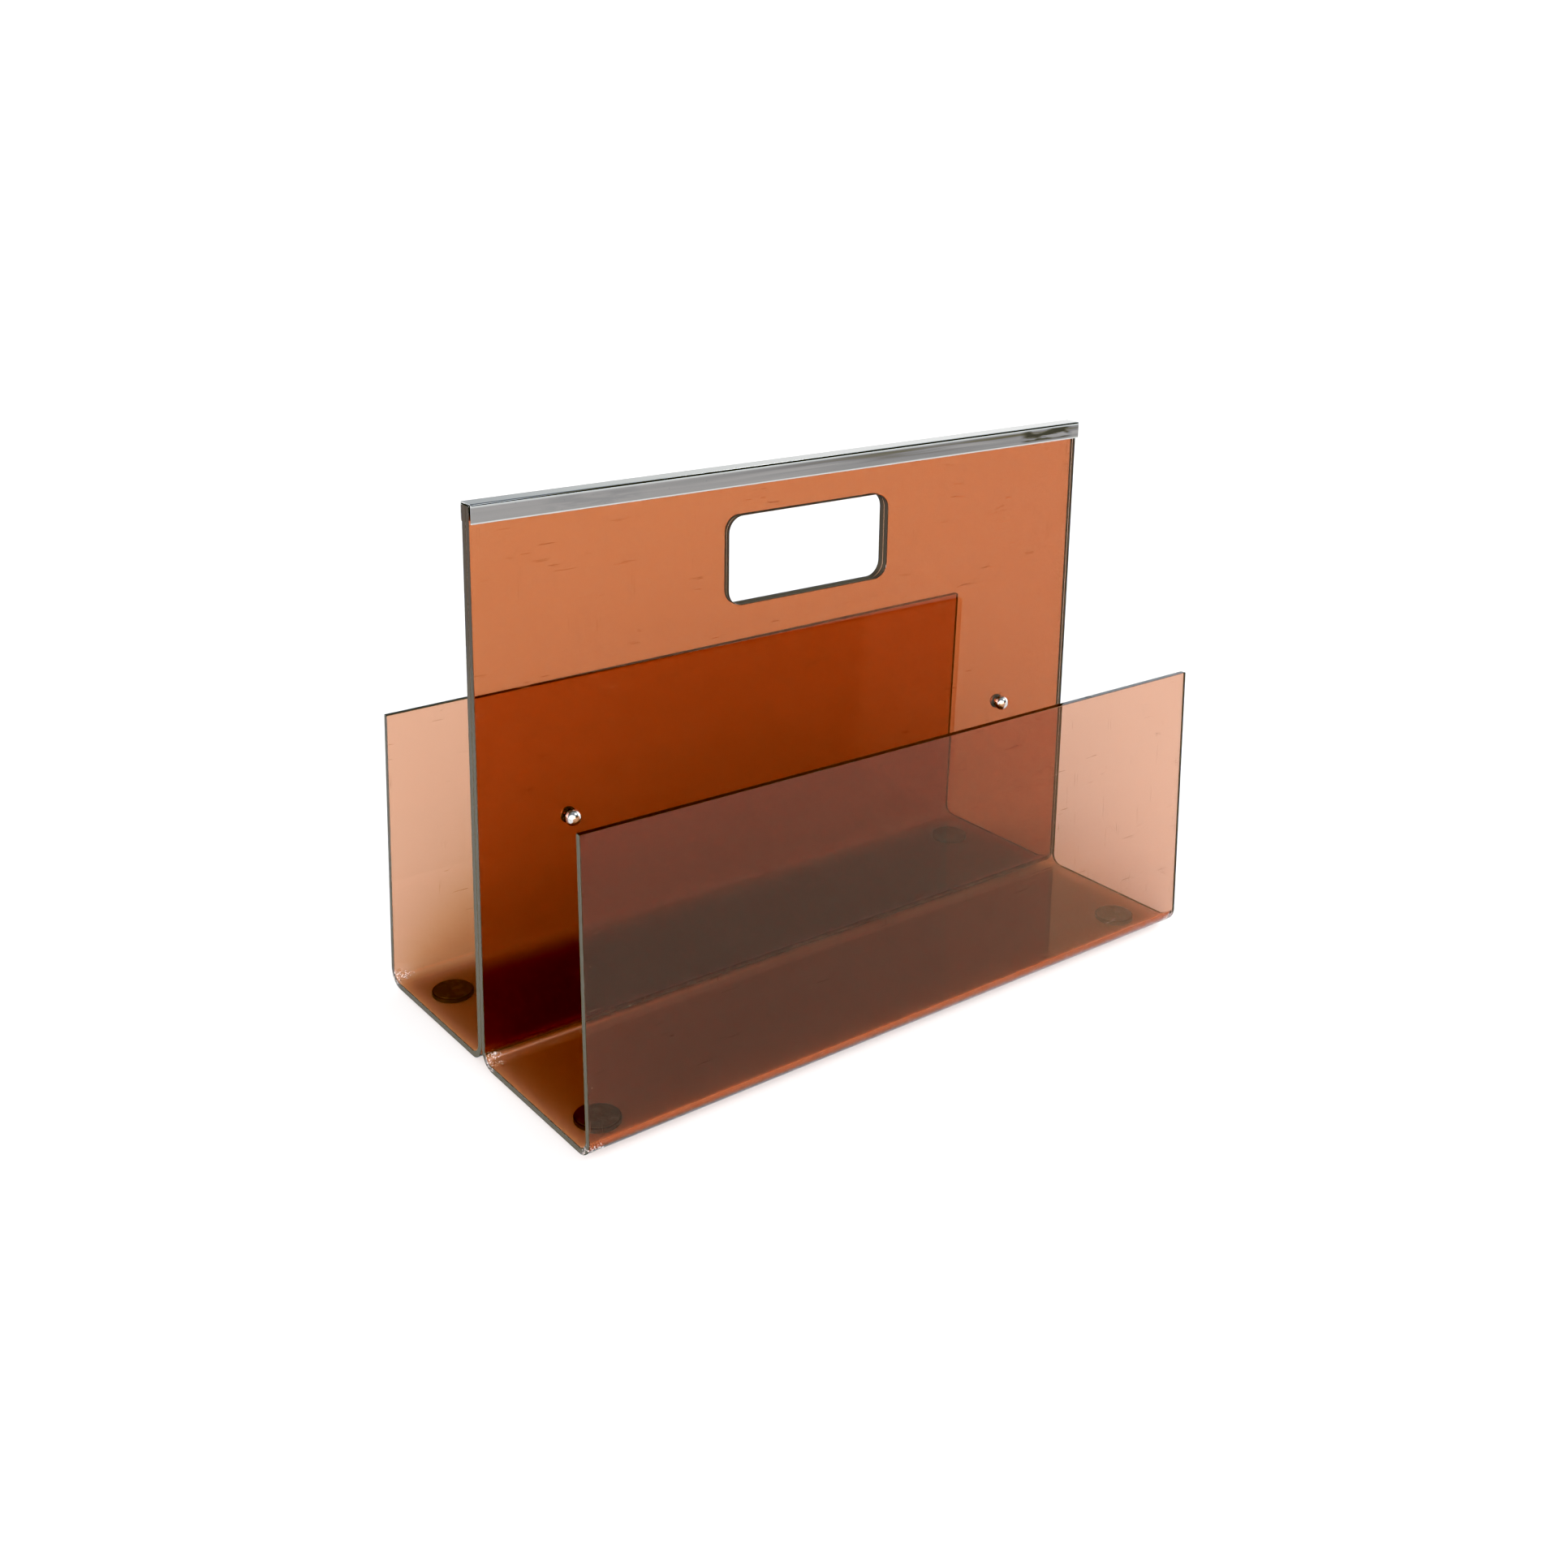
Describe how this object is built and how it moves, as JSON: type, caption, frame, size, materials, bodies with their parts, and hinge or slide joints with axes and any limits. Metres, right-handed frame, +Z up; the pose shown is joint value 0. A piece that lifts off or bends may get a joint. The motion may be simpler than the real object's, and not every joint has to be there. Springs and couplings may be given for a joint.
{
  "type": "magazine rack",
  "caption": "Smoked acrylic magazine rack: two open trays bent from sheet and joined back to back, with a hand slot and a chrome edge cap.",
  "frame": {"origin": "on the ground, under the middle of the rack's bounding box", "axes": "+X along the length of the rack, +Y towards the back tray, -Y towards the front tray, +Z up"},
  "size_m": [0.4, 0.2058, 0.2893],
  "materials": {
    "smoked_acrylic": "clear rose-brown smoked acrylic sheet, polished faces, sawn edges",
    "chrome_channel": "bright chrome on thin folded sheet, lightly scratched",
    "chrome_hardware": "bright chrome on small turned pieces",
    "packing": "black strip, dull",
    "foot_rubber": "dark brown, dull",
    "adhesive": "dark glossy film with small bubbles"
  },
  "bodies": {
    "root": {"front_tray": "smoked_acrylic", "back_tray": "smoked_acrylic", "edge_cap": "chrome_channel", "cap_packing": "packing", "left_barrel_nut": "chrome_hardware", "left_screw": "chrome_hardware", "right_barrel_nut": "chrome_hardware", "right_screw": "chrome_hardware", "front_left_foot": "foot_rubber", "front_left_foot_adhesive": "adhesive", "front_right_foot": "foot_rubber", "front_right_foot_adhesive": "adhesive", "back_left_foot": "foot_rubber", "back_left_foot_adhesive": "adhesive", "back_right_foot": "foot_rubber", "back_right_foot_adhesive": "adhesive"}
  },
  "joints": []
}
